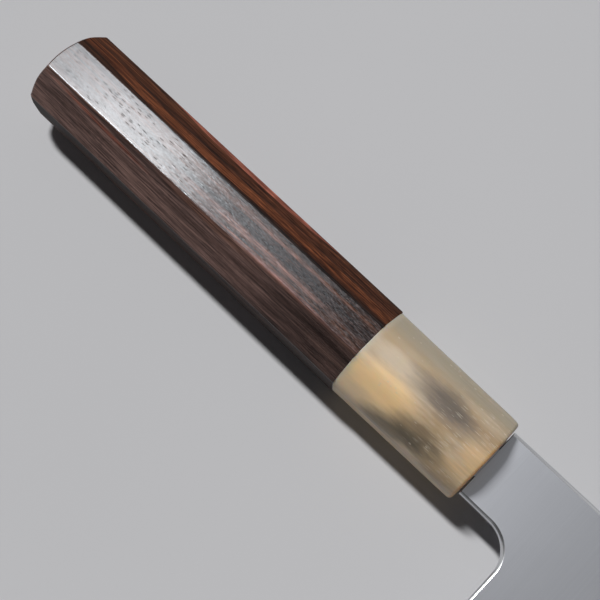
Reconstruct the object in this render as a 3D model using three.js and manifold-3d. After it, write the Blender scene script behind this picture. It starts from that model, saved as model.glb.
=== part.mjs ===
// A gyuto, the Japanese chef's knife, with an octagonal wooden handle and a horn ferrule.
// Sizes are in millimetres. The knife lies on its side: +X runs from butt to tip, +Y to the spine, +Z up.
// Each piece is made with x = 0 at the ferrule's front face and y = z = 0 on the handle's axis.

import * as THREE from "three";
import { mergeVertices } from "three/addons/utils/BufferGeometryUtils.js";
import Module from "manifold-3d";

const wasm = await Module();
wasm.setup();

// Handle and ferrule: an octagon that narrows from the butt to the ferrule's mouth
const woodLength = 99.8; // along the axis
const ferruleLength = 35;
const handleWidth = 19.4; // between the two flat sides, along Z
const chamferDepth = 5.3; // how far each chamfer reaches in from a flat side, along Z
const buttHeight = 23.4; // from the spine facet to the edge facet, along Y
const jointHeight = 22.4;
const mouthHeight = 21.7;
const buttFacet = 9.4; // height of a flat side, along Y
const jointFacet = 8.9;
const mouthFacet = 8.6;
const buttSlant = 1.2; // how much further back the butt reaches at the edge facet than at the spine facet
const buttRounding = 0.9;
const mouthRounding = 1.2;

// Core of the handle
const dowelDiameter = 13.5;
const dowelEnd = 6; // solid length behind the tang's slot
const ferruleWall = 6; // horn in front of the dowel
const beddingThickness = 0.6; // the least resin round the tang
const glueGap = 0.3; // between pieces that are glued together

// Tang
const tangLength = 70;
const tangHeight = 8; // at the blade's shoulders
const tangEndHeight = 5;
const tangThickness = 2.1;
const tangRoot = 4; // how far the tang's block runs into the neck

// Blade
const spineAbove = 9.25; // spine over the handle's axis
const neckBelow = 8.95; // neck's underside under the handle's axis
const shoulderGap = 0.3; // between the ferrule's front and the blade's shoulders
const heelReach = 16.4; // ferrule's front to the heel
const choilRadius = 7.2;
const heelHeight = 47; // spine to heel
const bladeLength = 210; // heel to tip
const tipHeight = 20.5; // tip over the heel
const spineThickness = 2.8; // at the heel
const heelThickness = 0.9; // behind the edge at the heel
const tipThickness = 0.8;
const spineRounding = 0.9;
const roundingShare = 0.7; // the most of half the blade's thickness that the rounding takes
const bevelWidth = 1; // the ground edge, seen from the side

// Profile of the blade: how far the edge and the spine run on in their own direction from each end
const edgeFlat = 90; // from the heel
const edgeBow = 1.4; // how far that stretch leans below the heel
const edgeBelly = 44; // from the tip
const straightSpine = 75; // ferrule's front to where the spine starts to fall
const spineFlat = 68; // from there
const spineTipRun = 36; // from the tip
const spineTipRise = 11;

// Fineness of the round stretches
const rimSteps = 3;
const choilSteps = 10;
const edgeSteps = 28;
const spineSteps = 16;
const roundSides = 48;

// Solids

function solidOf(geometry) {
  const bare = geometry.clone();
  bare.deleteAttribute("normal");
  bare.deleteAttribute("uv");
  const merged = mergeVertices(bare);
  return new wasm.Manifold(
    new wasm.Mesh({
      numProp: 3,
      vertProperties: merged.attributes.position.array,
      triVerts: new Uint32Array(merged.index.array),
    }),
  );
}

function geometryOf(solid) {
  const { vertProperties, triVerts } = solid.getMesh();
  const geometry = new THREE.BufferGeometry();
  geometry.setAttribute("position", new THREE.BufferAttribute(vertProperties, 3));
  geometry.setIndex(new THREE.BufferAttribute(triVerts, 1));
  geometry.computeVertexNormals();
  return geometry;
}

// A closed body through rings of equal point counts. The rings run counter-clockwise about the way they are
// stacked, and "across" and "up" name the two axes in which the first and last rings are filled.
function skinOf(rings, across, up) {
  const count = rings[0].length;
  const faces = [];
  for (let ring = 0; ring + 1 < rings.length; ring++) {
    for (let i = 0; i < count; i++) {
      const here = ring * count + i;
      const next = ring * count + ((i + 1) % count);
      faces.push(here, next, next + count);
      faces.push(here, next + count, here + count);
    }
  }
  const lastStart = (rings.length - 1) * count;
  for (const [a, b, c] of fillOf(rings[0], across, up)) {
    faces.push(c, b, a);
  }
  for (const [a, b, c] of fillOf(rings.at(-1), across, up)) {
    faces.push(lastStart + a, lastStart + b, lastStart + c);
  }
  const geometry = new THREE.BufferGeometry().setFromPoints(rings.flat());
  return solidOf(geometry.setIndex(faces));
}

function fillOf(ring, across, up) {
  const flat = ring.map((point) => new THREE.Vector2(point[across], point[up]));
  return THREE.ShapeUtils.triangulateShape(flat, []);
}

function boxOf(startX, endX, height, thickness) {
  const box = new THREE.BoxGeometry(endX - startX, height, thickness);
  return solidOf(box.translate((startX + endX) / 2, 0, 0));
}

function rodOf(startX, endX, diameter) {
  const radius = diameter / 2;
  const rod = new THREE.CylinderGeometry(radius, radius, endX - startX, roundSides);
  return solidOf(rod.rotateZ(Math.PI / 2).translate((startX + endX) / 2, 0, 0));
}

// Tang, tapering towards its end and grown by a gap on every side
function tangBlock(gap) {
  const rootX = shoulderGap + tangRoot;
  const endX = -tangLength - gap;
  const root = tangHeight / 2 + gap;
  const end = tangEndHeight / 2 + gap;
  const outline = new THREE.Shape();
  outline.moveTo(endX, -end);
  outline.lineTo(0, -root);
  outline.lineTo(rootX, -root);
  outline.lineTo(rootX, root);
  outline.lineTo(0, root);
  outline.lineTo(endX, end);
  const depth = tangThickness + 2 * gap;
  const block = new THREE.ExtrudeGeometry(outline, { depth, bevelEnabled: false });
  return solidOf(block.translate(0, 0, -depth / 2));
}

// Octagonal sections of the handle and the ferrule

const jointX = -ferruleLength;
const buttX = jointX - woodLength;

// A size that changes evenly from the butt to the joint, and from there to the mouth
function alongHandle(x, atButt, atJoint, atMouth) {
  if (x < jointX) {
    return THREE.MathUtils.mapLinear(x, buttX, jointX, atButt, atJoint);
  }
  return THREE.MathUtils.mapLinear(x, jointX, 0, atJoint, atMouth);
}

// The octagon at x, with each of its sides moved in by the inset
function octagonAt(x, inset) {
  const halfHeight = alongHandle(x, buttHeight, jointHeight, mouthHeight) / 2;
  const halfFacet = alongHandle(x, buttFacet, jointFacet, mouthFacet) / 2;
  const halfWidth = handleWidth / 2;
  const rise = halfHeight - halfFacet;
  const slope = Math.hypot(rise, chamferDepth);
  const top = halfHeight - inset;
  const side = halfWidth - inset;
  const facet = halfFacet - (inset * (slope - rise)) / chamferDepth;
  const shoulder = halfWidth - chamferDepth - (inset * (slope - chamferDepth)) / rise;
  const corners = [
    [top, -shoulder],
    [top, shoulder],
    [facet, side],
    [-facet, side],
    [-top, shoulder],
    [-top, -shoulder],
    [-facet, -side],
    [facet, -side],
  ];
  return corners.map(([y, z]) => new THREE.Vector3(x, y, z));
}

// The rings of a rounded rim, from the end face at endX into the body, which lies towards "inward" in x
function roundedRim(endX, inward, radius) {
  const rings = [];
  for (let step = 0; step <= rimSteps; step++) {
    const angle = ((step / rimSteps) * Math.PI) / 2;
    const x = endX + inward * radius * (1 - Math.cos(angle));
    rings.push(octagonAt(x, radius * (1 - Math.sin(angle))));
  }
  return rings;
}

// Handle, ferrule and core

const slotHeight = tangHeight + 2 * (beddingThickness + 2 * glueGap);
const slotWidth = tangThickness + 2 * (beddingThickness + 2 * glueGap);
const slotEndX = -(tangLength + beddingThickness + 2 * glueGap);
const dowelFrontX = -(ferruleWall + glueGap);
const dowelEndX = slotEndX - dowelEnd;
const boreDiameter = dowelDiameter + 2 * glueGap;

function makeHandle() {
  const butt = roundedRim(buttX, 1, buttRounding);
  for (const point of butt.flat()) {
    point.x += (buttSlant * point.y) / buttHeight;
  }
  const body = skinOf([...butt, octagonAt(jointX, 0)], "y", "z");
  return body.subtract(rodOf(dowelEndX - glueGap, jointX + dowelDiameter, boreDiameter));
}

function makeFerrule() {
  const mouth = roundedRim(0, -1, mouthRounding).reverse();
  const body = skinOf([octagonAt(jointX, 0), ...mouth], "y", "z");
  const bore = rodOf(jointX - dowelDiameter, -ferruleWall, boreDiameter);
  const slot = boxOf(-2 * ferruleWall, ferruleWall, slotHeight, slotWidth);
  return body.subtract(bore).subtract(slot);
}

function makeDowel() {
  const slot = boxOf(slotEndX, 0, slotHeight, slotWidth);
  return rodOf(dowelEndX, dowelFrontX, dowelDiameter).subtract(slot);
}

function makeBedding() {
  const fill = boxOf(slotEndX + glueGap, -glueGap, slotHeight - 2 * glueGap, slotWidth - 2 * glueGap);
  return fill.subtract(tangBlock(glueGap));
}

// Blade

const heel = new THREE.Vector2(heelReach, spineAbove - heelHeight);
const tip = new THREE.Vector2(heelReach + bladeLength, heel.y + tipHeight);

// Half the blade's thickness at a point. Each flank is a plane through the spine, the heel and the tip.
function halfThickness(point) {
  const overHeel = (spineThickness - heelThickness) / heelHeight;
  const towardsTip = (tipThickness - heelThickness - overHeel * tipHeight) / bladeLength;
  const whole = heelThickness + overHeel * (point.y - heel.y) + towardsTip * (point.x - heel.x);
  return whole / 2;
}

// The blade's outline, counter-clockwise from the lower shoulder, in rounded and ground stretches
function bladeStretches() {
  const choil = new THREE.EllipseCurve(
    heelReach - choilRadius,
    -neckBelow - choilRadius,
    choilRadius,
    choilRadius,
    Math.PI / 2,
    0,
    true,
  );
  const edge = new THREE.CubicBezierCurve(
    heel,
    new THREE.Vector2(heel.x + edgeFlat, heel.y - edgeBow),
    new THREE.Vector2(tip.x - edgeBelly, heel.y),
    tip,
  );
  const spine = new THREE.CubicBezierCurve(
    tip,
    new THREE.Vector2(tip.x - spineTipRun, tip.y + spineTipRise),
    new THREE.Vector2(straightSpine + spineFlat, spineAbove),
    new THREE.Vector2(straightSpine, spineAbove),
  );
  const bevelTop = new THREE.Vector2(heel.x, heel.y + bevelWidth);
  return [
    { points: [new THREE.Vector2(shoulderGap, -neckBelow)], ground: false },
    { points: [...choil.getPoints(choilSteps), bevelTop], ground: false },
    { points: edge.getPoints(edgeSteps).slice(0, -1), ground: true },
    { points: spine.getPoints(spineSteps), ground: false },
    { points: [new THREE.Vector2(shoulderGap, spineAbove)], ground: false },
  ];
}

// The outline's corners, each with its two sides: direction, way into the blade and width of the rim
function bladeCorners() {
  const marks = bladeStretches().flatMap(({ points, ground }) => {
    return points.map((point) => ({ point, ground }));
  });
  return marks.map(({ point, ground }, i) => {
    const previous = marks.at(i - 1);
    const next = marks[(i + 1) % marks.length];
    const rounding = Math.min(spineRounding, roundingShare * halfThickness(point));
    const sideOf = (from, to, isGround) => {
      const along = to.clone().sub(from).normalize();
      const inward = new THREE.Vector2(-along.y, along.x);
      return { along, inward, ground: isGround, width: isGround ? bevelWidth : rounding };
    };
    const before = sideOf(previous.point, point, previous.ground);
    const after = sideOf(point, next.point, ground);
    return { point, rounding, before, after, sharp: before.ground || after.ground };
  });
}

// A corner moved into the blade by shares of its rims' widths
function movedIn({ point, before, after }, roundShare, groundShare) {
  const distanceOf = (side) => side.width * (side.ground ? groundShare : roundShare);
  const moved = point.clone().addScaledVector(before.inward, distanceOf(before));
  const turn = before.along.dot(after.inward);
  if (Math.abs(turn) < 1e-6) {
    return moved;
  }
  const missing = distanceOf(after) - distanceOf(before) * before.inward.dot(after.inward);
  return moved.addScaledVector(before.along, missing / turn);
}

// One ring of the blade's rim. Step 0 bounds the flank. A rounded rim reaches the outline one step before the
// mid plane, which leaves a flat between its two roundings, and a ground edge reaches it on the mid plane.
function bladeRing(corners, step, side) {
  const lastStep = rimSteps + 1;
  const angle = (Math.min(step / rimSteps, 1) * Math.PI) / 2;
  const roundShare = 1 - Math.sin(angle);
  const groundShare = 1 - step / lastStep;
  return corners.map((corner) => {
    const place = movedIn(corner, roundShare, groundShare);
    const flank = halfThickness(movedIn(corner, 1, 1));
    const roundZ = step === lastStep ? 0 : flank - corner.rounding * (1 - Math.cos(angle));
    const z = corner.sharp ? flank * groundShare : roundZ;
    return new THREE.Vector3(place.x, place.y, side * z);
  });
}

function makeBlade() {
  const corners = bladeCorners();
  const steps = Array.from({ length: rimSteps + 1 }, (_, step) => step);
  const lower = steps.map((step) => bladeRing(corners, step, -1));
  const middle = bladeRing(corners, rimSteps + 1, 1);
  const upper = steps.map((step) => bladeRing(corners, step, 1)).reverse();
  return skinOf([...lower, middle, ...upper], "x", "y").add(tangBlock(0));
}

// The knife

function pieceOf(name, solid, color, roughness, metalness) {
  const material = new THREE.MeshStandardMaterial({ color, roughness, metalness });
  const mesh = new THREE.Mesh(geometryOf(solid), material);
  mesh.name = name;
  return mesh;
}

const knife = new THREE.Group();
knife.add(pieceOf("handle", makeHandle(), 0x3a2620, 0.45, 0));
knife.add(pieceOf("ferrule", makeFerrule(), 0xcbb892, 0.4, 0));
knife.add(pieceOf("dowel", makeDowel(), 0xd8c29a, 0.8, 0));
knife.add(pieceOf("tang_bedding", makeBedding(), 0x2b2722, 0.6, 0));
knife.add(pieceOf("blade", makeBlade(), 0xb9bcc2, 0.3, 1));

// The origin lies under the middle of the knife, on the surface that it rests on
const bounds = new THREE.Box3().setFromObject(knife);
const centre = bounds.getCenter(new THREE.Vector3());
knife.position.set(-centre.x, -centre.y, -bounds.min.z);

const gyuto = new THREE.Group();
gyuto.add(knife);

export default gyuto;
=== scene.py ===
import math
from types import SimpleNamespace

import bmesh
import bpy
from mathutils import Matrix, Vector


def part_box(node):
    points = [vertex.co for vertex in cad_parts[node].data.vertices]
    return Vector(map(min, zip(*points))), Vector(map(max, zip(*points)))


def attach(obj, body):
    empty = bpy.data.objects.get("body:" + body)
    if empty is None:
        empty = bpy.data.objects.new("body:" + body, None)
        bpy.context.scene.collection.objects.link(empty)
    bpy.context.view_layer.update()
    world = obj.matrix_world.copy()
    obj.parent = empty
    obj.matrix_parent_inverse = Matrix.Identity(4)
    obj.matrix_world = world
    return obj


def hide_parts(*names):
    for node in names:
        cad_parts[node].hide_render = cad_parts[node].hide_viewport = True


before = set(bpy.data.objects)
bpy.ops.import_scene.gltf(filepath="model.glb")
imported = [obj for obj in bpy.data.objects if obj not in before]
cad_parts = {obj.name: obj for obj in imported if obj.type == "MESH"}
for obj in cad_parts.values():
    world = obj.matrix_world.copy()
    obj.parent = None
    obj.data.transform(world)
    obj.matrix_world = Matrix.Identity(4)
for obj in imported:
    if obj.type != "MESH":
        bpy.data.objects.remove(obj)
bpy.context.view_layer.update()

# Lengths below are in millimetres. Each piece is made with x = 0 at the ferrule's front face and
# y = z = 0 on the handle's axis: +x runs to the tip, +y to the spine and +z up.
MM = 0.001
TINY = 1e-6


def in_mm(length):
    """A length of the frame in millimetres, without the noise of its last digits."""
    return round(length / MM, 3)


ferrule_low, ferrule_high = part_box("ferrule")
blade_low, blade_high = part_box("blade")
dowel_low, dowel_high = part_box("dowel")
bedding_low, bedding_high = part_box("tang_bedding")
axis_point = (ferrule_low + ferrule_high) / 2
MOUTH = Vector((ferrule_high.x, axis_point.y, axis_point.z))

# Octagon of the handle and the ferrule
WOOD_LENGTH = 99.8
FERRULE_LENGTH = in_mm(ferrule_high.x - ferrule_low.x)
JOINT_X = -FERRULE_LENGTH
BUTT_X = JOINT_X - WOOD_LENGTH
HANDLE_WIDTH = in_mm(ferrule_high.z - ferrule_low.z)
JOINT_HEIGHT = in_mm(ferrule_high.y - ferrule_low.y)
CHAMFER_DEPTH = 5.3
HEIGHTS = (23.4, JOINT_HEIGHT, 21.7)  # at the butt, the joint and the mouth
FACETS = (9.4, 8.9, 8.6)  # heights of the flat sides at the same places
SIDES = 8
SIDE_CORNERS = (1, 1, 0, 0, 1, 1, 0, 0)  # 1 for a corner of the spine side's or the edge side's facet
BUTT_SLANT = 1.2
BUTT_CROWN = 0.5  # how far the middle of each facet stands out at the butt
BUTT_DOME = 0.8
BUTT_RIM = 0.5
BUTT_CORNER = 1.0  # rounding of the butt at the corners of its spine side and edge side
BUTT_FADE = 0.1  # share of the wood's length over which the slant and the crown fade
MOUTH_RIM = 0.85
MOUTH_EDGE = 0.8  # how much wider the horn's facet edges are on the rounded mouth
JOINT_BREAK = 0.06
# A facet edge rolls over in five short flats: each one's lean, as a share of the whole turn, and its
# length, as a share of the edge's width
WOOD_ROLL = ((0.06, 0.32), (0.22, 0.13), (0.5, 0.1), (0.78, 0.13), (0.94, 0.32))
HORN_ROLL = ((0.07, 0.2), (0.28, 0.2), (0.5, 0.2), (0.72, 0.2), (0.93, 0.2))
WOOD_EDGE = 0.9  # width of the wood's facet edges
HORN_EDGE = (3.8, 5.0)  # width of the horn's facet edges, at the joint and at the mouth
LEAST_EDGE = 0.05
EDGE_STEPS = len(WOOD_ROLL)
FLAT_STEPS = 6
RIM_STEPS = 6
# Rings of the dome as shares of the butt's size, and rings of wood and horn as shares of their lengths
DOME_RINGS = (0.25, 0.5, 0.7, 0.85, 0.95)
WOOD_RINGS = (0.02, 0.1, 0.25, 0.4, 0.55, 0.7, 0.85, 0.96)
HORN_RINGS = (0.05, 0.2, 0.4, 0.6, 0.8, 0.92)
EDGE_LAYER = "facet_edge"
HANDLE_SHARP = 40  # degrees from which an edge of handle or ferrule is shaded as sharp

# Bore and slot, a glue gap larger than the dowel and the resin that lie in them
GLUE_GAP = 0.3
BORE = in_mm(dowel_high.y - dowel_low.y) + 2 * GLUE_GAP
BORE_END = in_mm(dowel_low.x - MOUTH.x) - GLUE_GAP
FERRULE_WALL = in_mm(MOUTH.x - dowel_high.x) - GLUE_GAP
SLOT_HEIGHT = in_mm(bedding_high.y - bedding_low.y) + 2 * GLUE_GAP
SLOT_WIDTH = in_mm(bedding_high.z - bedding_low.z) + 2 * GLUE_GAP

# Blade
SPINE_ABOVE = in_mm(blade_high.y - MOUTH.y)
NECK_BELOW = 8.95
SHOULDER_GAP = 0.42
SHOULDER_BREAK = 0.12
HEEL_REACH = 16.4
CHOIL_RADIUS = 7.2
HEEL_HEIGHT = 47
BLADE_LENGTH = in_mm(blade_high.x - MOUTH.x) - HEEL_REACH
TIP_HEIGHT = 20.5
HEEL = Vector((HEEL_REACH, SPINE_ABOVE - HEEL_HEIGHT))
TIP = Vector((HEEL_REACH + BLADE_LENGTH, HEEL.y + TIP_HEIGHT))
SPINE_THICKNESS = 2.8
HEEL_THICKNESS = 0.9
TIP_THICKNESS = 0.8
SPINE_ROUNDING = 0.9
ROUNDING_SHARE = 0.7  # largest share of the half thickness that the rounding takes up
ROUNDING_TILT = (14, 62)  # how far the rounding leans from the flank, at its inner and outer border
BEVEL_WIDTH = 1
EDGE_FLAT = 90
EDGE_BOW = 1.4
EDGE_BELLY = 44
STRAIGHT_SPINE = 75
SPINE_FLAT = 68
SPINE_TIP_RUN = 36
SPINE_TIP_RISE = 11
TANG_LENGTH = in_mm(MOUTH.x - blade_low.x)
TANG_HEIGHT = 8
TANG_END_HEIGHT = 5
TANG_THICKNESS = 2.1
TANG_OVERLAP = 4  # how far the tang runs on into the neck
CHOIL_STEPS = 28
CURVE_STEPS = 90
ROUND_STEPS = 8
BLADE_SHARP = 16  # degrees from which an edge of the blade is shaded as sharp


# Mesh helpers


def ring_of(mesh, points):
    return [mesh.verts.new(Vector(point) * MM) for point in points]


def bridge(mesh, rings, closed=False):
    pairs = list(zip(rings, rings[1:]))
    if closed:
        pairs.append((rings[-1], rings[0]))
    faces = []
    for before, after in pairs:
        count = len(before)
        for i in range(count):
            j = (i + 1) % count
            faces.append(mesh.faces.new((before[i], before[j], after[j], after[i])))
    return faces


def fan(mesh, ring, point):
    centre = mesh.verts.new(Vector(point) * MM)
    for i, here in enumerate(ring):
        mesh.faces.new((here, ring[(i + 1) % len(ring)], centre))


def mesh_data(name, mesh):
    data = bpy.data.meshes.new(name)
    mesh.to_mesh(data)
    mesh.free()
    return data


def placed(name, data, location=(0, 0, 0)):
    made = bpy.data.objects.new(name, data)
    made.location = location
    bpy.context.scene.collection.objects.link(made)
    return made


def piece_of(name, mesh, finishes, node, sharp_degrees):
    bmesh.ops.recalc_face_normals(mesh, faces=mesh.faces)
    for face in mesh.faces:
        face.smooth = True
    for edge in mesh.edges:
        edge.smooth = edge.calc_face_angle(0) < math.radians(sharp_degrees)
    data = mesh_data(name, mesh)
    for finish in finishes:
        data.materials.append(finish)
    piece = placed(name, data, MOUTH)
    piece.modifiers.new("flat facets", "WEIGHTED_NORMAL").keep_sharp = True
    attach(piece, "root")
    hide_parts(node)


# Octagonal sections


def along_handle(x, sizes):
    butt, joint, mouth = sizes
    if x < JOINT_X:
        share = (x - BUTT_X) / WOOD_LENGTH
        return butt + (joint - butt) * share
    share = (x - JOINT_X) / FERRULE_LENGTH
    return joint + (mouth - joint) * share


def octagon(x, inset):
    half_height = along_handle(x, HEIGHTS) / 2
    half_facet = along_handle(x, FACETS) / 2
    half_width = HANDLE_WIDTH / 2
    rise = half_height - half_facet
    slope = math.hypot(rise, CHAMFER_DEPTH)
    top = half_height - inset
    side = half_width - inset
    facet = half_facet - inset * (slope - rise) / CHAMFER_DEPTH
    shoulder = half_width - CHAMFER_DEPTH - inset * (slope - CHAMFER_DEPTH) / rise
    half = [Vector((top, -shoulder)), Vector((top, shoulder)), Vector((facet, side)), Vector((-facet, side))]
    return half + [-corner for corner in half]


def edge_rolls(corners, width, edge_roll):
    """For each corner of an octagon, the points of the flats it rolls over in."""
    rolls = []
    for i, corner in enumerate(corners):
        before = (corner - corners[i - 1]).normalized()
        after = (corners[(i + 1) % SIDES] - corner).normalized()
        turn = before.angle(after)
        chord = sum(length * width * math.cos((lean - 0.5) * turn) for lean, length in edge_roll)
        point = corner - before * (chord / 2 / math.cos(turn / 2))
        roll = [point]
        for lean, length in edge_roll:
            way = (before * math.sin((1 - lean) * turn) + after * math.sin(lean * turn)) / math.sin(turn)
            point = point + way * (length * width)
            roll.append(point)
        rolls.append(roll)
    return rolls


def rounded_octagon(x, inset, width, edge_roll):
    """Points of the section at x: each corner's rolled edge, and then the facet up to the next."""
    rolls = edge_rolls(octagon(x, inset), max(width - inset, LEAST_EDGE), edge_roll)
    points = []
    for i, roll in enumerate(rolls):
        next_start = rolls[(i + 1) % SIDES][0]
        facet = [roll[-1].lerp(next_start, step / FLAT_STEPS) for step in range(1, FLAT_STEPS)]
        points += [(x, point.x, point.y) for point in roll + facet]
    return points


def corner_and_step(index):
    """The corner that a point of a section belongs to, and its steps past that corner's rolled edge."""
    corner, step = divmod(index, EDGE_STEPS + FLAT_STEPS)
    return corner, step - EDGE_STEPS


def edge_nearness(index):
    """1 in the middle of a facet edge and 0 on the facets."""
    step = index % (EDGE_STEPS + FLAT_STEPS)
    return max(0, 1 - abs(2 * step / EDGE_STEPS - 1))


def facet_middle(index):
    """1 in the middle of a facet and 0 on the facet edges."""
    step = corner_and_step(index)[1]
    return max(0, 1 - (2 * step / FLAT_STEPS - 1) ** 2)


def side_corner(index):
    """1 at the corners of the spine side's and edge side's facets and 0 towards the flat sides."""
    corner, step = corner_and_step(index)
    here = SIDE_CORNERS[corner]
    there = SIDE_CORNERS[(corner + 1) % SIDES]
    if step <= 0:
        return here
    share = step / FLAT_STEPS
    return max(here * max(0, 1 - 2 * share), there * max(0, 2 * share - 1))


def new_octagon_mesh():
    mesh = bmesh.new()
    mesh.verts.layers.float.new(EDGE_LAYER)
    return mesh


def mark_edges(mesh, rings):
    layer = mesh.verts.layers.float[EDGE_LAYER]
    for ring in rings:
        for i, vert in enumerate(ring):
            vert[layer] = edge_nearness(i)


def mark_ring(mesh, ring, value):
    layer = mesh.verts.layers.float[EDGE_LAYER]
    for vert in ring:
        vert[layer] = max(vert[layer], value)


def bore_points(x, like):
    points = []
    for _, y, z in like:
        angle = math.atan2(z, y)
        points.append((x, math.cos(angle) * BORE / 2, math.sin(angle) * BORE / 2))
    return points


def slot_points(x, like):
    """The tang's slot, one point for each point of the ring round it."""
    half_height = SLOT_HEIGHT / 2
    half_width = SLOT_WIDTH / 2
    points = []
    for _, y, z in like:
        share = min(half_height / max(abs(y), TINY), half_width / max(abs(z), TINY))
        points.append(Vector((x, y * share, z * share)))
    for corner_y in (half_height, -half_height):
        for corner_z in (half_width, -half_width):
            corner = Vector((x, corner_y, corner_z))
            nearest = min(range(len(points)), key=lambda i: (points[i] - corner).length)
            points[nearest] = corner
    return points


# Handle

OILED, DRY = 0, 1
# A dry face leans at least this much to the spine or the edge and lies this far from the axis
SPINE_SIDE_LEAN = 0.5
SPINE_SIDE_FROM = 4
EDGE_FACET_LEAN = 0.9
EDGE_FACET_FROM = 9


def wood_section(x, inset=0):
    return rounded_octagon(x, inset, WOOD_EDGE, WOOD_ROLL)


def butt_shaped(points, share):
    """Points near the butt, moved by a share of its slant and of the crown of its facets."""
    moved = []
    for i, (x, y, z) in enumerate(points):
        slant = BUTT_SLANT * y / HEIGHTS[0]
        moved.append((x + share * (slant - BUTT_CROWN * facet_middle(i)), y, z))
    return moved


def butt_rim(angle):
    """The butt's rim at an angle from its end face, rounded more at the corners than along the facets."""
    sections = []
    for rounding in (BUTT_RIM, BUTT_CORNER):
        x = BUTT_X + rounding * (1 - math.cos(angle))
        section = wood_section(x, rounding * (1 - math.sin(angle)))
        sections.append([Vector(point) for point in section])
    pairs = zip(*sections)
    return [small.lerp(large, side_corner(i)) for i, (small, large) in enumerate(pairs)]


def wood_rings(mesh):
    """The outside of the wood, from the rim of the butt to the joint."""
    rings = []
    for step in range(RIM_STEPS + 1):
        section = butt_rim(step / RIM_STEPS * math.pi / 2)
        rings.append(ring_of(mesh, butt_shaped(section, 1)))
    for share in WOOD_RINGS:
        section = wood_section(BUTT_X + WOOD_LENGTH * share)
        rings.append(ring_of(mesh, butt_shaped(section, max(0, 1 - share / BUTT_FADE))))
    rings.append(ring_of(mesh, wood_section(JOINT_X - 2 * JOINT_BREAK)))
    rings.append(ring_of(mesh, wood_section(JOINT_X, JOINT_BREAK)))
    mark_edges(mesh, rings)
    mark_ring(mesh, rings[RIM_STEPS // 2], 1)
    return rings


def dome_rings(mesh):
    """Rings of the butt's end, from the middle of its slight dome outwards."""
    end = [(0, y, z) for _, y, z in butt_rim(0)]
    rings = []
    for share in DOME_RINGS:
        x = BUTT_X - BUTT_DOME * (1 - share * share)
        ring = butt_shaped(end, share * share)
        rings.append(ring_of(mesh, [(x + moved, y * share, z * share) for moved, y, z in ring]))
    return rings


def is_dry(face):
    """Whether a face of the wood lies on the spine side or on the edge side's facet."""
    lean = face.normal.y
    y = face.calc_center_median().y / MM
    spine_side = lean > SPINE_SIDE_LEAN and y > SPINE_SIDE_FROM
    edge_facet = lean < -EDGE_FACET_LEAN and y < -EDGE_FACET_FROM
    return spine_side or edge_facet


def make_handle(finishes):
    mesh = new_octagon_mesh()
    rings = wood_rings(mesh)
    dome = dome_rings(mesh)
    bridge(mesh, dome + rings)
    fan(mesh, dome[0], (BUTT_X - BUTT_DOME, 0, 0))
    # Bore for the dowel
    joint = wood_section(JOINT_X, JOINT_BREAK)
    front = ring_of(mesh, bore_points(JOINT_X, joint))
    back = ring_of(mesh, bore_points(BORE_END, joint))
    bridge(mesh, [rings[-1], front, back])
    fan(mesh, back, (BORE_END, 0, 0))
    bmesh.ops.recalc_face_normals(mesh, faces=mesh.faces)
    for face in mesh.faces:
        face.material_index = DRY if is_dry(face) else OILED
    piece_of("oiled_handle", mesh, finishes, "handle", HANDLE_SHARP)


# Ferrule


def horn_section(x, inset=0, wider=0):
    share = (x - JOINT_X) / FERRULE_LENGTH
    width = HORN_EDGE[0] + (HORN_EDGE[1] - HORN_EDGE[0]) * share
    return rounded_octagon(x, inset, width + wider, HORN_ROLL)


def make_ferrule(finishes):
    mesh = new_octagon_mesh()
    sections = [horn_section(JOINT_X, JOINT_BREAK), horn_section(JOINT_X + 2 * JOINT_BREAK)]
    sections += [horn_section(JOINT_X + FERRULE_LENGTH * share) for share in HORN_RINGS]
    for step in range(RIM_STEPS + 1):
        angle = (1 - step / RIM_STEPS) * math.pi / 2
        x = -MOUTH_RIM * (1 - math.cos(angle))
        sections.append(horn_section(x, MOUTH_RIM * (1 - math.sin(angle)), MOUTH_EDGE))
    rings = [ring_of(mesh, section) for section in sections]
    mark_edges(mesh, rings)
    # Slot for the tang and bore for the dowel
    mouth = sections[-1]
    inside = [slot_points(0, mouth), slot_points(-FERRULE_WALL, mouth)]
    inside += [bore_points(-FERRULE_WALL, mouth), bore_points(JOINT_X, mouth)]
    rings += [ring_of(mesh, points) for points in inside]
    bridge(mesh, rings, closed=True)
    piece_of("horn_ferrule", mesh, finishes, "ferrule", HANDLE_SHARP)


# Blade

POLISHED, GROUND = 1, 2  # finishes of the rim; flanks and tang keep the first one, which is satin


def curve(start, leave, arrive, end):
    """Points of the curve from start to end that leaves and arrives by way of the other two points."""
    points = []
    for step in range(CURVE_STEPS + 1):
        t = step / CURVE_STEPS
        s = 1 - t
        points.append(s * s * s * start + 3 * s * s * t * leave + 3 * s * t * t * arrive + t * t * t * end)
    return points


def half_thickness(point):
    over_heel = (SPINE_THICKNESS - HEEL_THICKNESS) / HEEL_HEIGHT
    towards_tip = (TIP_THICKNESS - HEEL_THICKNESS - over_heel * TIP_HEIGHT) / BLADE_LENGTH
    return (HEEL_THICKNESS + over_heel * (point.y - HEEL.y) + towards_tip * (point.x - HEEL.x)) / 2


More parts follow.
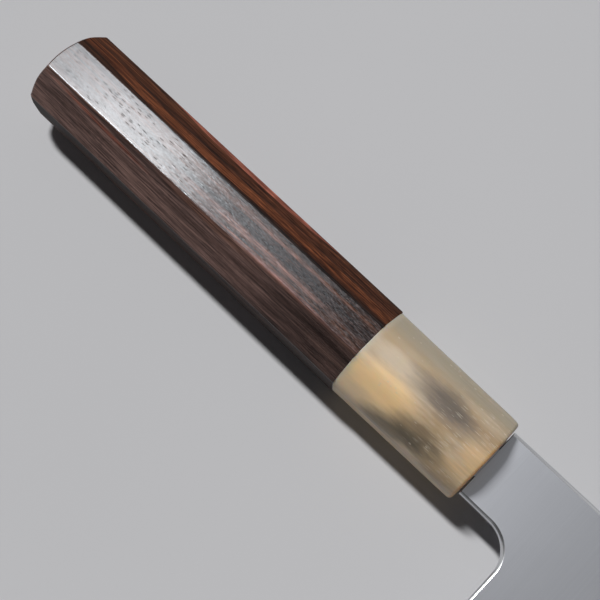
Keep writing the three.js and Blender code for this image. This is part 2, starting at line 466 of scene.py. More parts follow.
def blade_outline():
    """Points counter-clockwise from the lower shoulder, each with the kind of side after it."""
    outline = [(Vector((SHOULDER_GAP, -NECK_BELOW)), "round")]
    choil = Vector((HEEL_REACH - CHOIL_RADIUS, -NECK_BELOW - CHOIL_RADIUS))
    for step in range(CHOIL_STEPS + 1):
        angle = math.pi / 2 * (1 - step / CHOIL_STEPS)
        point = choil + CHOIL_RADIUS * Vector((math.cos(angle), math.sin(angle)))
        outline.append((point, "round"))
    outline.append((Vector((HEEL.x, HEEL.y + BEVEL_WIDTH)), "round"))
    edge = curve(
        HEEL,
        Vector((HEEL.x + EDGE_FLAT, HEEL.y - EDGE_BOW)),
        Vector((TIP.x - EDGE_BELLY, HEEL.y)),
        TIP,
    )
    outline += [(point, "ground") for point in edge[:-1]]
    spine = curve(
        TIP,
        Vector((TIP.x - SPINE_TIP_RUN, TIP.y + SPINE_TIP_RISE)),
        Vector((STRAIGHT_SPINE + SPINE_FLAT, SPINE_ABOVE)),
        Vector((STRAIGHT_SPINE, SPINE_ABOVE)),
    )
    outline += [(point, "round") for point in spine]
    outline.append((Vector((SHOULDER_GAP, SPINE_ABOVE)), "shoulder"))
    return outline


def side_of(start, end, kind, widths):
    along = (end - start).normalized()
    inward = Vector((-along.y, along.x))
    return {"along": along, "inward": inward, "ground": kind == "ground", "width": widths[kind]}


def blade_corners():
    outline = blade_outline()
    corners = []
    for i, (point, kind) in enumerate(outline):
        before_point, before_kind = outline[i - 1]
        after_point = outline[(i + 1) % len(outline)][0]
        rounding = min(SPINE_ROUNDING, ROUNDING_SHARE * half_thickness(point))
        widths = {"round": rounding, "ground": BEVEL_WIDTH, "shoulder": SHOULDER_BREAK}
        corners.append({
            "point": point,
            "rounding": rounding,
            "before": side_of(before_point, point, before_kind, widths),
            "after": side_of(point, after_point, kind, widths),
            "sharp": "ground" in (before_kind, kind),
        })
    return corners


def moved_in(corner, round_share, ground_share):
    """A corner of the outline, moved into the blade by shares of the widths of its two sides."""
    before = corner["before"]
    after = corner["after"]
    before_depth = before["width"] * (ground_share if before["ground"] else round_share)
    after_depth = after["width"] * (ground_share if after["ground"] else round_share)
    moved = corner["point"] + before["inward"] * before_depth
    turn = before["along"].dot(after["inward"])
    if abs(turn) < TINY:
        return moved
    missing = after_depth - before_depth * before["inward"].dot(after["inward"])
    return moved + before["along"] * (missing / turn)


def blade_ring(corners, step, side):
    """A ring of the blade's rim: step 0 borders the flank and the last step lies on the mid plane."""
    last = ROUND_STEPS + 1
    first_tilt, last_tilt = [math.radians(tilt) for tilt in ROUNDING_TILT]
    tilt = first_tilt + (last_tilt - first_tilt) * min(step / ROUND_STEPS, 1)
    reach = math.sin(last_tilt) - math.sin(first_tilt)
    out = (math.sin(tilt) - math.sin(first_tilt)) / reach
    down = (math.cos(first_tilt) - math.cos(tilt)) / reach
    ground_share = 1 - step / last
    points = []
    for corner in corners:
        place = moved_in(corner, 1 - out, ground_share)
        flank = half_thickness(moved_in(corner, 1, 1))
        z = flank - corner["rounding"] * down
        if step == last:
            z = 0
        if corner["sharp"]:
            z = flank * ground_share
        points.append((place.x, place.y, side * z))
    return points


def add_tang(mesh):
    """The tang, which runs on into the neck."""
    half = TANG_THICKNESS / 2
    ends = ((-TANG_LENGTH, TANG_END_HEIGHT), (0, TANG_HEIGHT), (SHOULDER_GAP + TANG_OVERLAP, TANG_HEIGHT))
    rings = []
    for x, height in ends:
        top = height / 2
        rings.append(ring_of(mesh, [(x, -top, -half), (x, top, -half), (x, top, half), (x, -top, half)]))
    bridge(mesh, rings)
    mesh.faces.new(rings[0])
    mesh.faces.new(rings[-1])


def make_blade(finishes):
    mesh = bmesh.new()
    corners = blade_corners()
    count = len(corners)
    rings = [ring_of(mesh, blade_ring(corners, step, -1)) for step in range(ROUND_STEPS + 1)]
    rings.append(ring_of(mesh, blade_ring(corners, ROUND_STEPS + 1, 1)))
    rings += [ring_of(mesh, blade_ring(corners, step, 1)) for step in range(ROUND_STEPS, -1, -1)]
    for i, face in enumerate(bridge(mesh, rings)):
        corner = corners[i % count]
        face.material_index = GROUND if corner["after"]["ground"] else POLISHED
    for ring in (rings[0], rings[-1]):
        border = [mesh.edges.get((here, ring[(i + 1) % count])) for i, here in enumerate(ring)]
        bmesh.ops.triangle_fill(mesh, use_beauty=True, use_dissolve=False, edges=border)
    add_tang(mesh)
    piece_of("satin_blade", mesh, finishes, "blade", BLADE_SHARP)


# Shader node helpers


def is_socket(value):
    return isinstance(value, bpy.types.NodeSocket)


def tree_of(values):
    """The node tree of the first socket among some values."""
    return next(filter(is_socket, values)).id_data


def put(socket, value):
    if is_socket(value):
        socket.id_data.links.new(value, socket)
    else:
        socket.default_value = value


def node(tree, kind, inputs=(), **settings):
    made = tree.nodes.new(kind)
    for name, value in settings.items():
        setattr(made, name, value)
    for socket, value in dict(inputs).items():
        put(made.inputs[socket], value)
    return made


def calc(operation, *values):
    made = node(tree_of(values), "ShaderNodeMath", enumerate(values), operation=operation)
    return made.outputs[0]


def plus(first, second):
    return calc("ADD", first, second)


def minus(first, second):
    return calc("SUBTRACT", first, second)


def times(value, *others):
    for other in others:
        value = calc("MULTIPLY", value, other)
    return value


def swing(noise, amount):
    """How far a noise is from its middle value of one half, times an amount."""
    return times(minus(noise, 0.5), amount)


def vector_calc(operation, *values):
    made = node(tree_of(values), "ShaderNodeVectorMath", enumerate(values), operation=operation)
    return made.outputs["Value" if operation in ("LENGTH", "DOT_PRODUCT") else "Vector"]


def scaled(vector, scale):
    inputs = {0: vector, "Scale": scale}
    return node(vector.id_data, "ShaderNodeVectorMath", inputs, operation="SCALE").outputs[0]


def turned(vector, angle, axis):
    inputs = {"Vector": vector, "Angle": angle}
    return node(vector.id_data, "ShaderNodeVectorRotate", inputs, rotation_type=axis).outputs[0]


def joined(x, y, z):
    return node(tree_of((x, y, z)), "ShaderNodeCombineXYZ", {0: x, 1: y, 2: z}).outputs[0]


def alike(value):
    """A vector, or a grey, whose three parts are alike."""
    return joined(value, value, value)


def split(vector):
    return node(vector.id_data, "ShaderNodeSeparateXYZ", {0: vector}).outputs


def blend(share, first, second, mode="MIX"):
    inputs = {0: share, 6: first, 7: second}
    tree = tree_of(inputs.values())
    return node(tree, "ShaderNodeMix", inputs, data_type="RGBA", blend_type=mode).outputs[2]


def between(value, low, high, start=0.0, end=1.0, smooth=True):
    """Goes from start, where the value is low, to end, where it is high."""
    inputs = {0: value, 1: low, 2: high, 3: start, 4: end}
    way = "SMOOTHSTEP" if smooth else "LINEAR"
    return node(value.id_data, "ShaderNodeMapRange", inputs, interpolation_type=way).outputs[0]


def ramp(value, stops):
    made = node(value.id_data, "ShaderNodeValToRGB", {0: value})
    elements = made.color_ramp.elements
    for element, (position, colour) in zip(elements, (stops[0], stops[-1])):
        element.position = position
        element.color = (*colour, 1)
    for position, colour in stops[1:-1]:
        elements.new(position).color = (*colour, 1)
    return made.outputs[0]


def bump(height, depth):
    """The normal of a surface whose height goes up by the depth, in millimetres."""
    inputs = {"Strength": 1.0, "Distance": depth * MM, "Height": height}
    return node(height.id_data, "ShaderNodeBump", inputs).outputs[0]


def edge_mask(tree):
    """1 in the middle of a facet edge and 0 on the facets, as marked on the mesh."""
    return node(tree, "ShaderNodeAttribute", attribute_name=EDGE_LAYER).outputs["Fac"]


# Effects, which are node groups that several finishes use

ORIGIN = (0, 0, 0)


def effect(name, output, **inputs):
    """An empty shader node group with vectors and numbers as inputs and one number as its output."""
    tree = bpy.data.node_groups.new(name, "ShaderNodeTree")
    for label, value in inputs.items():
        kind = "NodeSocketVector" if isinstance(value, tuple) else "NodeSocketFloat"
        tree.interface.new_socket(label, in_out="INPUT", socket_type=kind).default_value = value
    tree.interface.new_socket(output, in_out="OUTPUT", socket_type="NodeSocketFloat")
    start = tree.nodes.new("NodeGroupInput")
    end = tree.nodes.new("NodeGroupOutput")
    return tree, start.outputs, end.inputs[output]


def use(group, **inputs):
    return node(tree_of(inputs.values()), "ShaderNodeGroup", inputs, node_tree=group).outputs[0]


def long_grain():
    """Soft streaks along the knife with a width and a depth across it, turned about the handle's axis."""
    tree, given, result = effect(
        "long grain", "Grain", Position=ORIGIN, Length=50, Width=1, Depth=1, Turn=0, Fineness=2, Shift=0
    )
    place = turned(given["Position"], given["Turn"], "X_AXIS")
    sizes = joined(given["Length"], given["Width"], given["Depth"])
    place = vector_calc("DIVIDE", place, sizes)
    streaks = node(
        tree,
        "ShaderNodeTexNoise",
        {"Vector": place, "W": given["Shift"], "Scale": 1, "Detail": given["Fineness"], "Roughness": 0.55},
        noise_dimensions="4D",
    )
    put(result, streaks.outputs[0])
    return tree


LONG_GRAIN = long_grain()


def grain(place, length, width, depth, fineness, shift, turn=0.0):
    sizes = {"Length": length, "Width": width, "Depth": depth}
    return use(LONG_GRAIN, Position=place, Turn=turn, Fineness=fineness, Shift=shift, **sizes)


def short_marks():
    """Separate dashes along the grain, such as pores, gathered in loose groups."""
    tree, given, result = effect(
        "short marks", "Marks", Position=ORIGIN, Length=1, Width=0.2, Share=0.4, Shift=0
    )
    # Each cell is twice as long and wide as the dash in its middle
    dash_size = joined(given["Length"], given["Width"], given["Width"])
    place = vector_calc("DIVIDE", given["Position"], scaled(dash_size, 2.0))
    place = vector_calc("ADD", place, alike(given["Shift"]))
    cells = node(tree, "ShaderNodeTexVoronoi", {"Vector": place, "Scale": 1, "Randomness": 1})
    dash = between(cells.outputs["Distance"], 0.25, 0.42, 1.0, 0.0)
    # A cell keeps its dash by chance, and more often inside a group
    groups = grain(given["Position"], length=12, width=2.5, depth=2.5, fineness=1, shift=given["Shift"])
    chance = node(tree, "ShaderNodeSeparateColor", {0: cells.outputs["Color"]}).outputs[0]
    chance = plus(chance, swing(groups, 1.6))
    kept = calc("GREATER_THAN", chance, minus(1.0, given["Share"]))
    put(result, times(dash, kept))
    return tree


SHORT_MARKS = short_marks()


def marks(place, length, width, share, shift):
    return use(SHORT_MARKS, Position=place, Length=length, Width=width, Share=share, Shift=shift)


def soft_patch():
    """A cloudy patch about a point, with half sizes along x, y and z and a ragged border."""
    tree, given, result = effect(
        "soft patch", "Patch", Position=ORIGIN, Centre=ORIGIN, Size=(1, 1, 1), Lean=0, Border=0, Raggedness=1
    )
    away = vector_calc("SUBTRACT", given["Position"], given["Centre"])
    leaned = turned(away, given["Lean"], "Z_AXIS")
    reach = vector_calc("LENGTH", vector_calc("DIVIDE", leaned, given["Size"]))
    reach = plus(reach, swing(given["Border"], given["Raggedness"]))
    put(result, between(reach, 0.25, 1.0, 1.0, 0.0))
    return tree


SOFT_PATCH = soft_patch()


def with_patches(place, colour, border, patches):
    """The colour with soft patches painted over it, whose borders a grain makes ragged."""
    for centre, size, lean, paint, amount, raggedness in patches:
        shape = {"Centre": centre, "Size": size, "Lean": lean, "Raggedness": raggedness}
        mask = use(SOFT_PATCH, Position=place, Border=border, **shape)
        colour = blend(times(mask, amount), colour, (*paint, 1))
    return colour


def worn_edge():
    """Where hands have rubbed the facet edges."""
    tree, given, result = effect("worn edge", "Wear", Position=ORIGIN, Amount=0.5)
    uneven = grain(given["Position"], length=9, width=3, depth=3, fineness=3, shift=4.4)
    put(result, times(edge_mask(tree), between(uneven, 0.32, 0.66), given["Amount"]))
    return tree


WORN_EDGE = worn_edge()


def handled_sheen():
    """Uneven gloss of a surface that is wiped and handled."""
    tree, given, result = effect(
        "handled sheen", "Roughness", Position=ORIGIN, Size=12, Roughness=0.4, Spread=0.05
    )
    place = vector_calc("DIVIDE", given["Position"], alike(given["Size"]))
    cloud = node(tree, "ShaderNodeTexNoise", {"Vector": place, "Scale": 1, "Detail": 4, "Roughness": 0.6})
    uneven = swing(cloud.outputs[0], given["Spread"])
    put(result, plus(given["Roughness"], uneven))
    return tree


HANDLED_SHEEN = handled_sheen()


def sheen(place, size, roughness, spread):
    return use(HANDLED_SHEEN, Position=place, Size=size, Roughness=roughness, Spread=spread)


def finish_of(name):
    """A new material, its shader's inputs and the position in millimetres."""
    material = bpy.data.materials.new(name)
    material.use_nodes = True
    tree = material.node_tree
    shader = tree.nodes["Principled BSDF"].inputs
    place = node(tree, "ShaderNodeTexCoord").outputs["Object"]
    return material, shader, scaled(place, 1 / MM)


def surface(shader, colour, roughness, normal):
    put(shader["Base Color"], colour)
    put(shader["Roughness"], roughness)
    put(shader["Normal"], normal)


# Dark wood, whose places along x are about -135 at the butt, -85 in the middle and -35 at the joint

LAYER_TURN = math.radians(37.5)
ACROSS_LAYERS = (0, math.cos(LAYER_TURN), -math.sin(LAYER_TURN))
ON_EDGE = 0.15  # nearness to a facet edge from which the wood counts as rubbed
FIGURE_STOPS = (0.34, 0.44, 0.51, 0.58, 0.68)
DARK_BROWNS = (
    (0.009, 0.005, 0.004),
    (0.022, 0.010, 0.007),
    (0.044, 0.018, 0.011),
    (0.080, 0.031, 0.016),
    (0.125, 0.047, 0.023),
)
GREY_BROWNS = (
    (0.045, 0.026, 0.021),
    (0.085, 0.050, 0.042),
    (0.120, 0.073, 0.063),
    (0.160, 0.097, 0.082),
    (0.210, 0.125, 0.100),
)
# Bands across the spine side's chamfer, from the flat's edge on: where a band starts and ends across the
# layers, its dark and its light colour, and how much it covers
CHAMFER_BANDS = (
    (-2.6, -1.7, (0.006, 0.003, 0.002), (0.022, 0.009, 0.005), 0.8),
    (-1.6, 1.2, (0.052, 0.015, 0.007), (0.210, 0.067, 0.027), 0.85),
    (1.9, 4.6, (0.032, 0.0115, 0.006), (0.112, 0.037, 0.017), 0.85),
)
BAND_START_BLUR = 0.35
BAND_END_BLUR = 0.6
SAPWOOD_MIDDLE = -77.3
# Streaks: centre, half sizes, lean in radians, colour, how much it covers and raggedness
WOOD_STREAKS = (
    # A dark and a thin red line from the butt and a brown streak farther on, beside the flat side's edge
    ((-112, -5.2, 9.3), (36, 0.6, 1.0), 0.02, (0.020, 0.012, 0.010), 0.75, 0.7),
    ((-117, -6.0, 8.7), (30, 0.55, 1.0), 0.034, (0.19, 0.062, 0.04), 0.8, 0.7),
    ((-79, -5.3, 9.3), (20, 1.1, 1.2), 0.0, (0.115, 0.05, 0.03), 0.55, 0.7),
    # Two dark and three paler streaks along the flat side
    ((-62, 3.8, 9.7), (44, 1.6, 2), 0.0, (0.014, 0.010, 0.010), 0.7, 0.7),
    ((-60, 0.8, 9.7), (44, 1.5, 2), 0.0, (0.018, 0.012, 0.011), 0.6, 0.7),
    ((-66, -1.6, 9.7), (38, 1.1, 2), 0.0, (0.23, 0.115, 0.09), 0.85, 0.7),
    ((-60, -3.9, 9.7), (34, 0.8, 2), 0.0, (0.25, 0.11, 0.085), 0.85, 0.7),
    ((-62, 2.4, 9.7), (34, 0.45, 2), 0.0, (0.20, 0.095, 0.07), 0.75, 0.7),
)


def wandering(place):
    """The position in the wood's layers, which wander a little along the handle."""
    cloud = vector_calc("DIVIDE", place, (75, 14, 14))
    inputs = {"Vector": cloud, "Scale": 1, "Detail": 1.5}
    drift = node(place.id_data, "ShaderNodeTexNoise", inputs).outputs[1]
    drift = vector_calc("SUBTRACT", drift, (0.5, 0.5, 0.5))
    drift = vector_calc("MULTIPLY", drift, (0, 3.2, 3.2))
    return vector_calc("ADD", place, drift)


def wood_parts(place, grey_share):
    """The positions, grains and masks that the wood's colour, gloss and relief share."""
    x, y, z = split(place)
    layered = wandering(place)
    streaks = grain(layered, length=60, width=0.55, depth=1.3, turn=LAYER_TURN, fineness=2, shift=8.2)
    strands = grain(layered, length=22, width=0.32, depth=0.6, turn=LAYER_TURN, fineness=2, shift=5.6)
    towards_edge = plus(y, times(streaks, 0.8))
    near_edge = edge_mask(place.id_data)
    flat = HANDLE_WIDTH / 2
    on_flat = between(calc("ABSOLUTE", z), flat - 0.3, flat - 0.1)
    # Pores, fainter at the butt and past the middle
    pores = marks(place, length=1.1, width=0.12, share=0.16, shift=5.0)
    pores = times(pores, between(x, -133, -112, 0.35, 1.0), between(x, -96, -84, 1.0, 0.4))
    return SimpleNamespace(
        place=place,
        layered=layered,
        x=x,
        edge_side=between(towards_edge, -2.2, -5.0, 0.0, grey_share),
        near_edge=near_edge,
        on_flat=times(on_flat, between(near_edge, 0.0, ON_EDGE, 1.0, 0.0)),
        bands=grain(layered, length=170, width=2.1, depth=8, turn=LAYER_TURN, fineness=2.5, shift=3.1),
        streaks=streaks,
        strands=between(strands, 0.3, 0.7),
        fibres=grain(place, length=10, width=0.16, depth=0.16, fineness=1.5, shift=1.7),
        fine_lines=grain(layered, length=8, width=0.25, depth=0.25, fineness=3.0, shift=7.3),
        specks=grain(place, length=1.2, width=0.2, depth=0.2, fineness=1, shift=2.4),
        glints=grain(place, length=2.6, width=0.26, depth=0.26, fineness=2, shift=9.5),
        pores=pores,
    )


def wood_ground(wood):
    """Dark brown, and a paler, greyer brown on the edge side."""
    figure = plus(times(wood.bands, 0.62), times(wood.streaks, 0.38))
    figure = plus(figure, swing(wood.specks, 0.14))
    dark_brown = ramp(figure, list(zip(FIGURE_STOPS, DARK_BROWNS)))
    grey_brown = ramp(figure, list(zip(FIGURE_STOPS, GREY_BROWNS)))
    return blend(wood.edge_side, dark_brown, grey_brown)


def with_bands(wood, colour):
    """Wavy bands across the spine side's chamfer, which lean towards the spine at the butt."""
    layer = vector_calc("DOT_PRODUCT", wood.layered, ACROSS_LAYERS)
    wavy = plus(layer, swing(wood.streaks, 2.2))
    wavy = minus(wavy, between(wood.x, -130, -104, 1.0, 0.0))
    for start, end, dark, light, amount in CHAMFER_BANDS:
        from_start = between(wavy, start - BAND_START_BLUR, start + BAND_START_BLUR)
        to_end = between(wavy, end - BAND_END_BLUR, end + BAND_END_BLUR, 1.0, 0.0)
        paint = blend(wood.strands, (*dark, 1), (*light, 1))
        colour = blend(times(from_start, to_end, amount), colour, paint)
    return colour


def with_sapwood(wood, colour):
    """A long patch of red sapwood on the spine side, which just shows along its upper edge."""
    # The patch closes in towards its two ends, from a sharp inner and a soft outer border
    reach = between(wood.x, -84, -71, 32, 25)
    off_middle = calc("DIVIDE", minus(wood.x, SAPWOOD_MIDDLE), reach)
    closing = times(off_middle, off_middle, 1.5)
    layer = vector_calc("DOT_PRODUCT", wood.place, ACROSS_LAYERS)
    inner = plus(layer, swing(wood.streaks, 0.5))
    inner = between(minus(inner, closing), 4.55, 4.8)
    outer = plus(layer, swing(wood.bands, 5))
    outer = between(plus(outer, closing), 6.6, 9.0, 1.0, 0.0)
    paint = blend(wood.fibres, (0.20, 0.062, 0.043, 1), (0.35, 0.117, 0.075, 1))
    return blend(times(inner, outer), colour, paint)


def with_streaks(wood, colour):
    return with_patches(wood.place, colour, wood.streaks, WOOD_STREAKS)


def with_lines(wood, colour):
    """Fine lines all over, darker towards the joint, and painted glints of light from the middle to the
    joint.
    """
    lines = between(wood.fine_lines, 0.32, 0.68, 0.3, 1.75, smooth=False)
    lines = times(lines, between(wood.x, -75, -42, 1.0, 0.75))
    at_joint = between(wood.x, -70, -40, 0.0, 0.45)
    lines = times(lines, minus(1, times(wood.edge_side, at_joint)))
    # Painted glints: the colour flickers lighter and darker along the grain, off the edge side
    painted_glints = between(wood.glints, 0.32, 0.68, 0.4, 1.65, smooth=False)
    painted_glints = between(wood.edge_side, 0.0, 1.0, painted_glints, 1.0)
    lines = times(lines, between(wood.x, -100, -75, 1.0, painted_glints))
    return blend(1.0, colour, alike(lines), "MULTIPLY")


def with_marks(wood, colour):
    """Painted sparkle as pale specks on the flat sides from the middle to the joint, dark pores and rubbed
    facet edges.
    """
    # Painted sparkle: pale specks of colour that stand in for glints of light
    painted_sparkle = times(between(wood.specks, 0.54, 0.72, 0.0, 0.4), wood.on_flat, between(wood.x, -96, -72))
    colour = blend(painted_sparkle, colour, (0.21, 0.145, 0.135, 1))
    colour = blend(times(wood.pores, 0.6), colour, (0.008, 0.006, 0.005, 1))
    wear = use(WORN_EDGE, Position=wood.place, Amount=0.3)
    return blend(wear, colour, (0.16, 0.08, 0.05, 1))


def wood_roughness(wood, roughness):
    rough = sheen(wood.place, size=14, roughness=roughness, spread=0.04)
    rough = plus(rough, times(wood.pores, 0.25))
    # Grittier on the flat sides from the middle to the joint
    grit = times(wood.on_flat, between(wood.x, -106, -84, 0.0, 0.42))
    rough = plus(rough, swing(wood.specks, plus(grit, 0.16)))
    # A little duller at the butt and smoother at the joint
    rough = plus(rough, between(wood.x, -136, -110, 0.03, 0.0))
    rough = minus(rough, between(wood.x, -60, -40, 0.0, 0.09))
    # Rubbed smooth along the facet edges
    return minus(rough, between(wood.near_edge, 0.0, ON_EDGE, 0.0, 0.2))


def wood_relief(wood):
    """Fibres, specks and pores, with sparkle and grit from the middle to the joint."""
    height = minus(times(plus(wood.fibres, wood.specks), 1.2), wood.pores)
    gritty = times(wood.on_flat, between(wood.x, -96, -78, 0.0, 14.0))
    height = plus(height, times(wood.specks, gritty))
    sparkle = times(wood.glints, between(wood.x, -108, -80, 0.0, 20.0))
    sparkle = times(sparkle, between(wood.near_edge, 0.0, ON_EDGE, 1.0, 0.1))
    return bump(plus(height, sparkle), depth=0.003)


def set_oil(wood, oil_share):
    """Oil that has set on the wood, thinner along the fibres and broken by the pores."""
    oil = between(wood.fibres, 0.3, 0.7, 0.045, 0.085, smooth=False)
    oil = times(oil, between(wood.x, -134, -112, 0.45, 1.0))
    oil = times(oil, between(wood.x, -115, -97, oil_share, 1.3 * oil_share))
    return times(oil, minus(1.0, wood.pores))


def dark_wood(name, gloss, roughness, oil_share, grey_share):
    material, shader, place = finish_of(name)
    wood = wood_parts(place, grey_share)
    colour = wood_ground(wood)
    for painted in (with_bands, with_sapwood, with_streaks, with_lines, with_marks):
        colour = painted(wood, colour)
    surface(shader, colour, wood_roughness(wood, roughness), wood_relief(wood))
    put(shader["Specular IOR Level"], gloss)
    put(shader["Specular Tint"], (0.86, 0.93, 1.0, 1))
    put(shader["Coat Weight"], set_oil(wood, oil_share))
    put(shader["Coat Roughness"], 0.15)
    return material


def oiled_wood():
    return dark_wood("oiled dark wood", gloss=0.36, roughness=0.35, oil_share=1.0, grey_share=1.0)


def dry_wood():
    name = "dry dark wood of the spine side and the edge facet"
    return dark_wood(name, gloss=0.08, roughness=0.5, oil_share=0.1, grey_share=0.0)


# Blond horn, whose places along x are -35 at the joint and 0 at the mouth

# Clouds: centre, half sizes, lean in radians, colour, how much it covers and raggedness
HORN_CLOUDS = (
    # Whitish and amber towards the joint
    ((-28, 0.6, 9.7), (11, 2.8, 6), 0.0, (0.74, 0.615, 0.46), 0.7, 1.6),
    ((-26, -5.2, 8.5), (16, 5.2, 7), 0.0, (0.97, 0.69, 0.375), 0.9, 1.0),
    # Brown and smoky on the flat side
    ((-12, -2.2, 9.7), (9, 3.4, 5), 0.0, (0.42, 0.28, 0.145), 0.75, 1.6),
    ((-11.5, -4.4, 9), (10, 2.8, 5), 0.0, (0.40, 0.28, 0.15), 0.6, 1.6),
    ((-13.6, 1.1, 9.7), (12.5, 5.0, 6), 0.07, (0.25, 0.20, 0.155), 0.85, 1.2),
    ((-13.2, 1.8, 9.7), (8.5, 3.6, 5), 0.07, (0.10, 0.082, 0.068), 0.55, 1.2),
    # Brown and olive on the edge side
    ((-6, -10, 5), (12, 4.2, 5), 0.0, (0.29, 0.205, 0.12), 0.6, 1.6),
    ((-15.8, -7.4, 7), (7.5, 4.6, 6), -0.1, (0.14, 0.105, 0.066), 0.65, 1.2),
    ((-12.2, -5.9, 8.5), (6, 2.6, 5), 0.0, (0.22, 0.16, 0.10), 0.5, 1.6),
    ((-18.6, -9.9, 5.2), (14.5, 3.0, 5), -0.17, (0.10, 0.085, 0.062), 0.85, 1.1),
    # Pale and honey at the mouth
    ((-4.5, 5.2, 8.5), (8, 3.0, 5), 0.0, (0.58, 0.47, 0.34), 0.7, 1.6),
    ((-2, -4.5, 9), (6, 6.5, 7), 0.0, (0.76, 0.53, 0.285), 0.7, 1.6),
)


def horn_parts(place):
    """The positions, grains and flecks that the horn's colour, gloss and relief share."""
    x, y, _ = split(place)
    return SimpleNamespace(
        place=place,
        x=x,
        y=y,
        clouds=grain(place, length=24, width=6, depth=6, turn=0.4, fineness=2.5, shift=2.0),
        fibres=grain(place, length=12, width=0.42, depth=0.42, fineness=2.5, shift=6.3),
        wisps=grain(place, length=11, width=1.8, depth=1.8, fineness=3, shift=3.6),
        flecks=marks(place, length=0.5, width=0.2, share=-0.1, shift=9.0),
    )


def horn_ground(horn):
    """Pale brown, lighter on the edge side, and greyer and less clear towards the spine side."""
    browns = [(0.36, (0.47, 0.335, 0.20)), (0.48, (0.56, 0.425, 0.275)), (0.60, (0.63, 0.51, 0.365))]
    colour = ramp(horn.clouds, browns)
    edge_side = between(horn.y, -3.5, -7, 0.0, 0.6)
    colour = blend(edge_side, colour, (0.80, 0.63, 0.42, 1))
    spine_side = between(plus(horn.y, times(horn.fibres, 1.2)), 3.4, 9.4)
    return blend(times(spine_side, 0.75), colour, (0.385, 0.35, 0.275, 1))


def with_clouds(horn, colour):
    return with_patches(horn.place, colour, horn.wisps, HORN_CLOUDS)


def with_rim_glow_and_pale_joint(horn, colour):
    """A painted glow of light in the thin rim at the mouth, and paler horn at the joint."""
    # Painted glow: orange on the mouth's rim, strongest on its edge side, as if light shone through the thin
    # horn
    rim = times(between(horn.x, -1.0, -0.2), between(horn.y, 4, 0))
    colour = blend(times(rim, 0.75), colour, (0.78, 0.44, 0.15, 1))
    at_joint = between(horn.x, -34.9, -33.2, 0.45, 0.0)
    return blend(at_joint, colour, (0.60, 0.53, 0.42, 1))


def with_threads(horn, colour):
    """Pale threads and fine lines, more of them towards the mouth, pale flecks and rubbed facet edges."""
    threads = marks(horn.place, length=1.3, width=0.08, share=0.22, shift=7.0)
    threads = times(threads, between(horn.x, -20, -9, 0.0, 0.5))
    colour = blend(threads, colour, (0.76, 0.69, 0.57, 1))
    lines = between(horn.fibres, 0.3, 0.7, 0.8, 1.14, smooth=False)
    amount = between(horn.x, -30, -8, 0.1, 0.6)
    colour = blend(amount, colour, alike(lines), "MULTIPLY")
    colour = blend(times(horn.flecks, 0.5), colour, (0.74, 0.67, 0.55, 1))
    wear = use(WORN_EDGE, Position=horn.place, Amount=0.12)
    return blend(wear, colour, (0.70, 0.60, 0.46, 1))


def blond_horn():
    material, shader, place = finish_of("blond horn")
    horn = horn_parts(place)
    colour = horn_ground(horn)
    for painted in (with_clouds, with_rim_glow_and_pale_joint, with_threads):
        colour = painted(horn, colour)
    rough = sheen(place, size=9, roughness=0.4, spread=0.1)
    rough = plus(rough, swing(horn.fibres, 0.2))
    height = plus(times(horn.fibres, 0.5), horn.flecks)
    surface(shader, colour, rough, bump(height, depth=0.006))
    put(shader["Subsurface Weight"], 0.7)
    put(shader["Subsurface Radius"], (1.0, 0.6, 0.3))
    put(shader["Subsurface Scale"], 2.5 * MM)
    return material


# Steel


def steel(name, colour, roughness, spread, length, width, depth):
    """Steel with fine lines, which run along the blade or, where they are wider than long, across it."""
    material, shader, place = finish_of(name)
    lines = grain(place, length=length, width=width, depth=width, fineness=2.5, shift=1.2)
    darker = tuple(0.93 * part for part in colour)
    tint = ramp(lines, [(0.3, darker), (0.7, colour)])
    rough = sheen(place, size=26, roughness=roughness, spread=spread)
    rough = plus(rough, swing(lines, spread))
    surface(shader, tint, rough, bump(lines, depth=depth))
    put(shader["Metallic"], 1)
    return material


def satin_steel():
    colour = (0.522, 0.536, 0.575)
    return steel("satin flank", colour, roughness=0.365, spread=0.03, length=0.12, width=30, depth=0.0006)


def polished_steel():
    colour = (0.68, 0.69, 0.71)
    return steel("polished spine", colour, roughness=0.25, spread=0.05, length=25, width=0.2, depth=0.0006)


def ground_steel():
    colour = (0.60, 0.61, 0.63)
    return steel("ground edge", colour, roughness=0.36, spread=0.06, length=0.15, width=20, depth=0.0015)


# Finishes of the hidden pieces


def pale_dowel():
    material, shader, place = finish_of("pale dowel wood")
    bands = grain(place, length=90, width=1.6, depth=5, turn=0.6, fineness=2.5, shift=2.7)
    fibres = grain(place, length=9, width=0.2, depth=0.2, fineness=1.5, shift=4.1)
    pores = marks(place, length=2, width=0.2, share=0.3, shift=1.0)
    figure = plus(times(bands, 0.7), times(fibres, 0.3))
    browns = [(0.35, (0.50, 0.36, 0.21)), (0.5, (0.66, 0.51, 0.33)), (0.65, (0.74, 0.60, 0.42))]
    colour = ramp(figure, browns)
    colour = blend(times(pores, 0.5), colour, (0.34, 0.22, 0.12, 1))
    rough = sheen(place, size=8, roughness=0.72, spread=0.12)
    surface(shader, colour, rough, bump(minus(fibres, pores), depth=0.02))
    return material


def set_resin():
    material, shader, place = finish_of("dark set resin")
    clouds = grain(place, length=3, width=1.2, depth=1.2, fineness=3, shift=7.0)
    bubbles = marks(place, length=0.4, width=0.4, share=0.2, shift=3.0)
    colour = ramp(clouds, [(0.35, (0.018, 0.016, 0.014)), (0.65, (0.042, 0.038, 0.032))])
    colour = blend(times(bubbles, 0.5), colour, (0.07, 0.064, 0.055, 1))
    rough = sheen(place, size=5, roughness=0.42, spread=0.2)
    surface(shader, colour, rough, bump(minus(clouds, bubbles), depth=0.05))
    return material


# Floor, light and camera

FLOOR_HALF_SIZE = 12  # metres
FLOOR_CELLS = 8
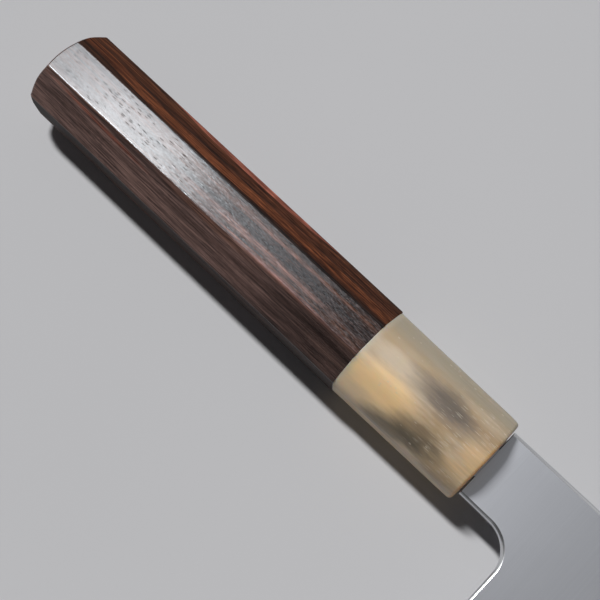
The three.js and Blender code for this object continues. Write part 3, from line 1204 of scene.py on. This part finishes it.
# The softbox: how its lamps lean along the knife and to the spine from straight above, how many degrees
# each one covers, and its strength
SOFTBOX_LEANS = {"near softbox": -0.45, "middle softbox": -0.55, "far softbox": -0.65}
SOFTBOX_TO_SPINE = 0.205
SOFTBOX_DEGREES = 5.2
SOFTBOX_STRENGTH = 0.88
HORIZON = (0.48, 0.48, 0.49, 1)
FILL = (0.045, 0.045, 0.047, 1)
# The camera, fitted to the photo: its place from the ferrule's mouth and its turns in degrees
CAMERA_PLACE = (-6.25, -48.55, 217.235)
CAMERA_TURNS = (17.111, 0.354, 44.675)
FOCAL_LENGTH = 60.03
SENSOR_WIDTH = 36
NEAREST = 0.01  # metres


def pale_floor():
    material, shader, place = finish_of("pale floor")
    inputs = {"Vector": place, "Scale": 0.006, "Detail": 3}
    cloud = node(place.id_data, "ShaderNodeTexNoise", inputs).outputs[0]
    colour = ramp(cloud, [(0.3, (0.61, 0.61, 0.625)), (0.7, (0.63, 0.63, 0.645))])
    put(shader["Base Color"], colour)
    put(shader["Roughness"], 0.9)
    put(shader["Specular IOR Level"], 0.1)
    return material


def make_floor():
    mesh = bmesh.new()
    bmesh.ops.create_grid(mesh, x_segments=FLOOR_CELLS, y_segments=FLOOR_CELLS, size=FLOOR_HALF_SIZE)
    data = mesh_data("floor", mesh)
    data.materials.append(pale_floor())
    floor = placed("floor", data)


def make_softbox():
    """A long narrow softbox over the handle, made of three round lamps in a row."""
    for name, lean in SOFTBOX_LEANS.items():
        way = Vector((lean, SOFTBOX_TO_SPINE, 1))
        lamp = bpy.data.lights.new(name, "SUN")
        lamp.angle = math.radians(SOFTBOX_DEGREES)
        lamp.energy = SOFTBOX_STRENGTH
        placed(name, lamp, MOUTH + way).rotation_euler = way.to_track_quat("Z", "Y").to_euler()


def room_walls(tree):
    """The room by direction: pale at the horizon and at both ends, and dim elsewhere and overhead."""
    x, y, z = split(node(tree, "ShaderNodeTexCoord").outputs["Generated"])
    # A white card beyond the heel, and a paler wall behind the spine towards the tip
    card = between(x, -0.1, 0.5, 0.08, 0.85)
    behind_spine = between(x, -0.05, 0.15, 0.2, 0.7)
    wall = between(y, -0.6, 0.3, card, behind_spine)
    for end in (-1, 1):
        wall = calc("MAXIMUM", wall, between(x, end * 0.45, end * 0.7, 0.0, 0.55))
    walls = blend(between(z, 0.0, 0.2), HORIZON, alike(wall))
    overhead = between(y, -0.5, 0.3, 0.05, 0.32)
    return blend(between(z, 0.5, 0.8), walls, alike(overhead))


def make_room():
    """A world that mirrored rays see as a room, the camera as a plain backdrop and the rest as dim fill."""
    world = bpy.data.worlds.new("studio")
    world.use_nodes = True
    tree = world.node_tree
    ray = node(tree, "ShaderNodeLightPath").outputs
    mirrored = calc("MAXIMUM", ray["Is Glossy Ray"], ray["Is Transmission Ray"])
    colour = blend(mirrored, FILL, room_walls(tree))
    colour = blend(ray["Is Camera Ray"], colour, HORIZON)
    put(tree.nodes["Background"].inputs["Color"], colour)
    bpy.context.scene.world = world


def make_camera():
    lens = bpy.data.cameras.new("camera")
    lens.sensor_width = SENSOR_WIDTH
    lens.lens = FOCAL_LENGTH
    lens.clip_start = NEAREST
    camera = placed("camera", lens, MOUTH + Vector(CAMERA_PLACE) * MM)
    camera.rotation_euler = [math.radians(turn) for turn in CAMERA_TURNS]
    bpy.context.scene.camera = camera


# The knife and its setting

make_handle([oiled_wood(), dry_wood()])
make_ferrule([blond_horn()])
make_blade([satin_steel(), polished_steel(), ground_steel()])
for hidden, finish in (("dowel", pale_dowel()), ("tang_bedding", set_resin())):
    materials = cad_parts[hidden].data.materials
    materials.clear()
    materials.append(finish)
make_floor()
make_softbox()
make_room()
make_camera()
bpy.context.scene.view_settings.view_transform = "Standard"
